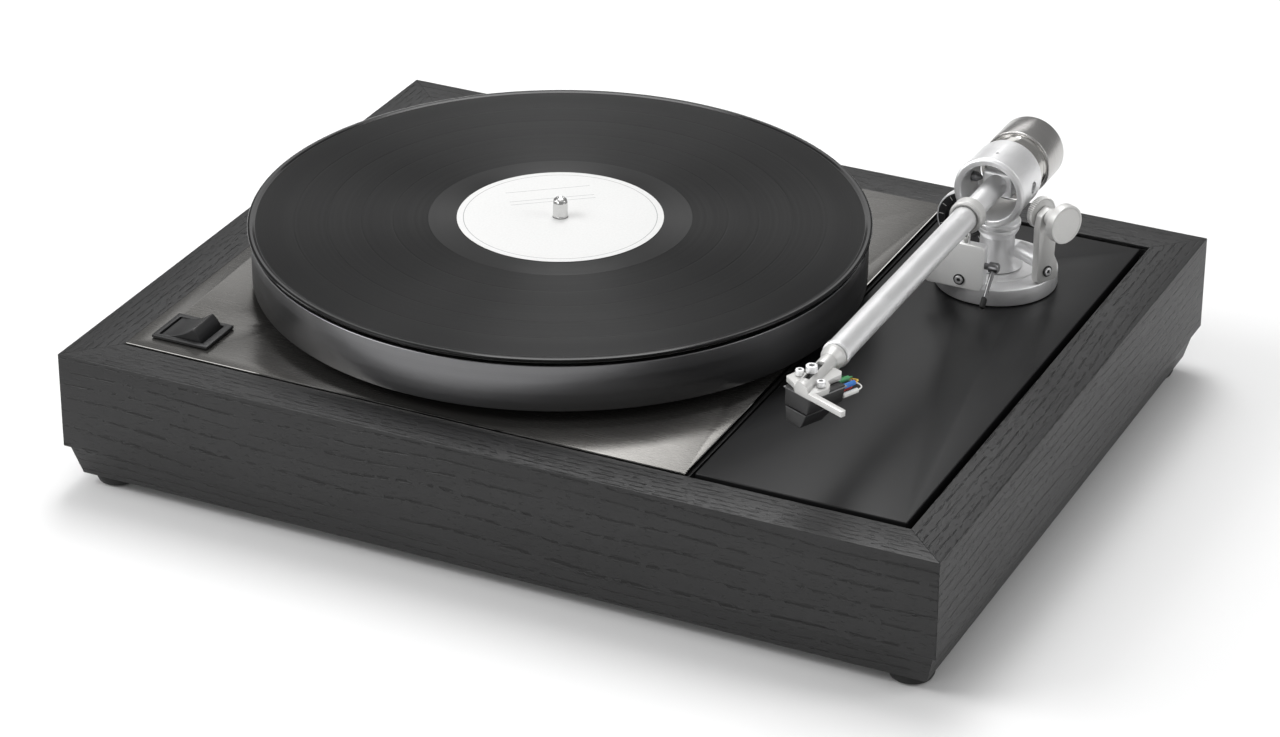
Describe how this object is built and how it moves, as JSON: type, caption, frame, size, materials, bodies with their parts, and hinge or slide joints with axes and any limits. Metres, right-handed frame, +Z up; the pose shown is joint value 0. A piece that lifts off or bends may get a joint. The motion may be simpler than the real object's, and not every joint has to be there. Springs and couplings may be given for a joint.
{
  "type": "turntable record player",
  "caption": "Belt-drive record player with a timber plinth, sprung sub-chassis, two-part platter with a record on it, and a straight nine-inch tonearm.",
  "frame": {"origin": "centre of the footprint, at the bottom of the four feet", "axes": "+X along the plinth to the tonearm side, +Y to the back, +Z up"},
  "size_m": [0.445, 0.356, 0.1419],
  "materials": {
    "black_ash": "open-grain black stained oak, satin lacquer",
    "brushed_steel": "fine straight brush, satin",
    "satin_black": "laminated board with smooth satin black paint",
    "black_plastic": "fine moulded texture",
    "black_rubber": "matt",
    "black_felt": "short felt",
    "black_vinyl": "pressed grooves",
    "label_paper": "uncoated paper",
    "machined_alloy": "turned, satin",
    "satin_silver": "bead-blasted and clear anodised",
    "pearl_silver": "fine pearl anodised",
    "stainless": "turned and brushed round",
    "bright_steel": "bright zinc",
    "black_painted_steel": "satin black powder coat",
    "circuit_board": "solder mask",
    "brass": "turned",
    "lead_wires": "thin coloured sleeves",
    "spring_steel": "bright zinc"
  },
  "bodies": {
    "plinth": {"plinth_front_rail": "black_ash", "plinth_back_rail": "black_ash", "plinth_left_rail": "black_ash", "plinth_right_rail": "black_ash", "cross_brace": "black_painted_steel", "baseboard": "black_painted_steel", "foot_front_left": "black_rubber", "foot_front_right": "black_rubber", "foot_rear_left": "black_rubber", "foot_rear_right": "black_rubber", "top_plate": "brushed_steel", "switch_housing": "black_plastic", "motor_can": "black_painted_steel", "drive_belt": "black_rubber", "drive_board": "circuit_board", "rear_panel": "black_painted_steel", "suspension_bolt_front": "bright_steel", "suspension_bolt_rear": "bright_steel", "suspension_bolt_right": "bright_steel", "suspension_spring_front": "spring_steel", "suspension_spring_rear": "spring_steel", "suspension_spring_right": "spring_steel"},
    "subchassis": {"subchassis": "black_painted_steel", "bearing_housing": "brass", "suspension_grommet_front": "black_rubber", "suspension_grommet_rear": "black_rubber", "suspension_grommet_right": "black_rubber", "armboard": "satin_black", "arm_base": "satin_silver", "arm_base_nut": "brass", "arm_pillar": "satin_silver", "side_bracket": "pearl_silver", "side_bracket_screw": "bright_steel", "lift_block": "satin_silver", "lift_plate": "pearl_silver", "lift_plate_screw": "bright_steel"},
    "platter": {"inner_platter": "machined_alloy", "spindle": "bright_steel", "outer_platter": "machined_alloy", "platter_mat": "black_felt", "record": "black_vinyl", "record_label": "label_paper"},
    "motor_rotor": {"motor_pulley": "brass"},
    "arm_yoke": {"gimbal_housing": "satin_silver"},
    "arm": {"arm_tube": "satin_silver", "arm_shaft": "satin_silver", "headshell": "pearl_silver", "headshell_screw": "bright_steel", "cartridge_screw_left": "bright_steel", "cartridge_screw_right": "bright_steel", "cartridge_body": "black_plastic", "stylus_unit": "black_plastic", "cartridge_leads": "lead_wires"},
    "counterweight": {"counterweight": "stainless"},
    "rocker": {"switch_rocker": "black_plastic"},
    "cue_lever": {"cue_lever": "black_painted_steel"},
    "lift_bar": {"lift_bar": "satin_silver"},
    "bias_dial": {"bias_dial": "black_plastic"},
    "thumbscrew": {"bias_thumbscrew": "pearl_silver"}
  },
  "joints": [
    {"name": "subchassis_float", "type": "slide", "parent": "plinth", "child": "subchassis", "axis": [0, 0, 1], "range_m": [-0.0015, 0.0015], "stiffness_N_per_m": 2400, "springref_m": 0.02268, "deforming": ["suspension_spring_front", "suspension_spring_rear", "suspension_spring_right"]},
    {"name": "platter_spin", "type": "hinge", "parent": "subchassis", "child": "platter", "pos_m": [-0.0461, -0.003, 0.0738], "axis": [0, 0, 1], "continuous": true},
    {"name": "motor_spin", "type": "hinge", "parent": "plinth", "child": "motor_rotor", "pos_m": [-0.1274, 0.0783, 0.0746], "axis": [0, 0, 1], "continuous": true},
    {"name": "arm_swing", "type": "hinge", "parent": "subchassis", "child": "arm_yoke", "pos_m": [0.1447, 0.0883, 0.124], "axis": [0, 0, -1], "range_deg": [0, 48.8]},
    {"name": "arm_pitch", "type": "hinge", "parent": "arm_yoke", "child": "arm", "pos_m": [0.1447, 0.0883, 0.124], "axis": [-1, 0, 0], "range_deg": [-0.15, 7]},
    {"name": "counterweight_slide", "type": "slide", "parent": "arm", "child": "counterweight", "axis": [0, 1, 0], "range_m": [-0.0005, 0.006]},
    {"name": "power_rocker", "type": "hinge", "parent": "plinth", "child": "rocker", "pos_m": [-0.1765, -0.1329, 0.0696], "axis": [0, 1, 0], "range_deg": [0, 24]},
    {"name": "cue_lever", "type": "hinge", "parent": "subchassis", "child": "cue_lever", "pos_m": [0.1485, 0.062, 0.091], "axis": [-1, 0, 0], "range_deg": [0, 60]},
    {"name": "lift_bar", "type": "slide", "parent": "subchassis", "child": "lift_bar", "axis": [0, 0, 1], "range_m": [0, 0.0026]},
    {"name": "bias_dial", "type": "hinge", "parent": "subchassis", "child": "bias_dial", "pos_m": [0.1237, 0.1, 0.0953], "axis": [0, -1, 0], "range_deg": [0, 270]},
    {"name": "thumbscrew", "type": "hinge", "parent": "subchassis", "child": "thumbscrew", "pos_m": [0.16675, 0.08312, 0.115], "axis": [0.891, -0.454, 0], "continuous": true}
  ],
  "couplings": [
    {"joint": "motor_spin", "follows": "platter_spin", "ratio": 7.5},
    {"joint": "cue_lever", "follows": "lift_bar", "rad_per_m": 402.77}
  ]
}
